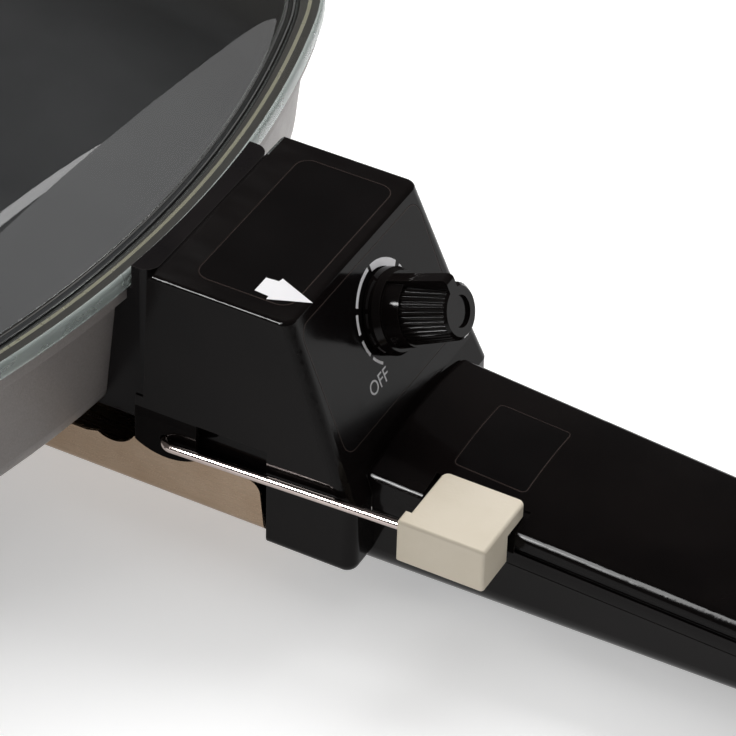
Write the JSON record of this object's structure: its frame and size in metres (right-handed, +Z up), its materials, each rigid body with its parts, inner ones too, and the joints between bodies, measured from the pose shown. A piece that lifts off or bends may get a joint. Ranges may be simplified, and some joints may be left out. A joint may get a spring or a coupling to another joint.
{
  "type": "electric skillet",
  "caption": "Electric skillet: bowed-square pan on legs, loose glass lid, and a pull-off control handle with a dial, a temperature probe and a wire latch lever.",
  "frame": {"origin": "centre of the bounding box in plan, at the surface that the feet stand on", "axes": "+X from the pan out along the control handle, +Z up, -Y the side of the wire lever"},
  "size_m": [0.5716, 0.305, 0.13],
  "materials": {
    "coated_aluminium": "matte non-stick coating",
    "element_sheath": "heat-darkened sheath",
    "plated_pin": "nickel plated",
    "ceramic": "glazed ceramic",
    "phenolic": "moulded phenolic",
    "zinc_steel": "zinc plated",
    "foot_rubber": "soft black rubber",
    "stainless_sheet": "stainless sheet",
    "lid_glass": "clear tempered glass",
    "brass": "machined brass",
    "silicone": "grey silicone",
    "black_moulding": "satin black moulding",
    "trim_plate": "dark printed plate",
    "copper": "drawn copper",
    "lead_brown": "heat-proof sleeve",
    "lead_blue": "heat-proof sleeve",
    "nylon": "natural nylon",
    "chromed_wire": "bright chrome",
    "cream_moulding": "cream moulding"
  },
  "bodies": {
    "cooker": {"pan": "coated_aluminium", "heating_element": "element_sheath", "terminal_pins": "plated_pin", "terminal_insulators": "ceramic", "leg_rear_near": "phenolic", "leg_rear_far": "phenolic", "leg_front_near": "phenolic", "leg_front_far": "phenolic", "leg_screws": "zinc_steel", "foot_pads": "foot_rubber", "cradle": "stainless_sheet", "cradle_screws": "zinc_steel", "handle_seat": "phenolic", "handle_seat_screws": "zinc_steel", "helper_handle": "phenolic", "helper_screws": "zinc_steel"},
    "lid": {"lid_glass": "lid_glass", "lid_knob": "phenolic", "lid_knob_insert": "brass", "lid_knob_gasket": "silicone", "lid_knob_washer": "stainless_sheet", "lid_knob_screw": "stainless_sheet", "steam_vent": "stainless_sheet"},
    "handle": {"upper_shell": "black_moulding", "lower_shell": "black_moulding", "closing_screws": "zinc_steel", "top_plate": "trim_plate", "dial_plate": "trim_plate", "grip_plate": "trim_plate", "dial_bushing": "brass", "dial_nut": "brass", "thermostat_frame": "zinc_steel", "ceramic_wafers": "ceramic", "adjusting_blade": "brass", "contact_blade": "brass", "contact_points": "plated_pin", "probe_tube": "plated_pin", "probe_collar": "zinc_steel", "capillary_tube": "copper", "socket_contacts": "brass", "socket_blocks": "phenolic", "end_cap": "black_moulding", "cord_gland": "foot_rubber", "terminal_block": "ceramic", "clamp_screws": "brass", "near_lead": "lead_brown", "far_lead": "lead_blue", "lever_bushes": "nylon"},
    "dial": {"control_knob": "black_moulding", "dial_shaft": "brass"},
    "lever": {"wire_lever": "chromed_wire", "lever_tab": "cream_moulding", "latch_cams": "nylon", "lever_clip": "zinc_steel"}
  },
  "joints": [
    {"name": "lid_lift", "type": "slide", "parent": "cooker", "child": "lid", "axis": [0, 0, 1], "range_m": [0, 0.12]},
    {"name": "handle_pull", "type": "slide", "parent": "cooker", "child": "handle", "axis": [1, 0, 0], "range_m": [0, 0.1]},
    {"name": "dial_turn", "type": "hinge", "parent": "handle", "child": "dial", "pos_m": [0.11495, 0.004, 0.06774], "axis": [-0.9285, 0, -0.3714], "range_deg": [-131, 131]},
    {"name": "lever_lift", "type": "hinge", "parent": "handle", "child": "lever", "pos_m": [0.07375, 0, 0.0376], "axis": [0, -1, 0], "range_deg": [0, 90]}
  ]
}
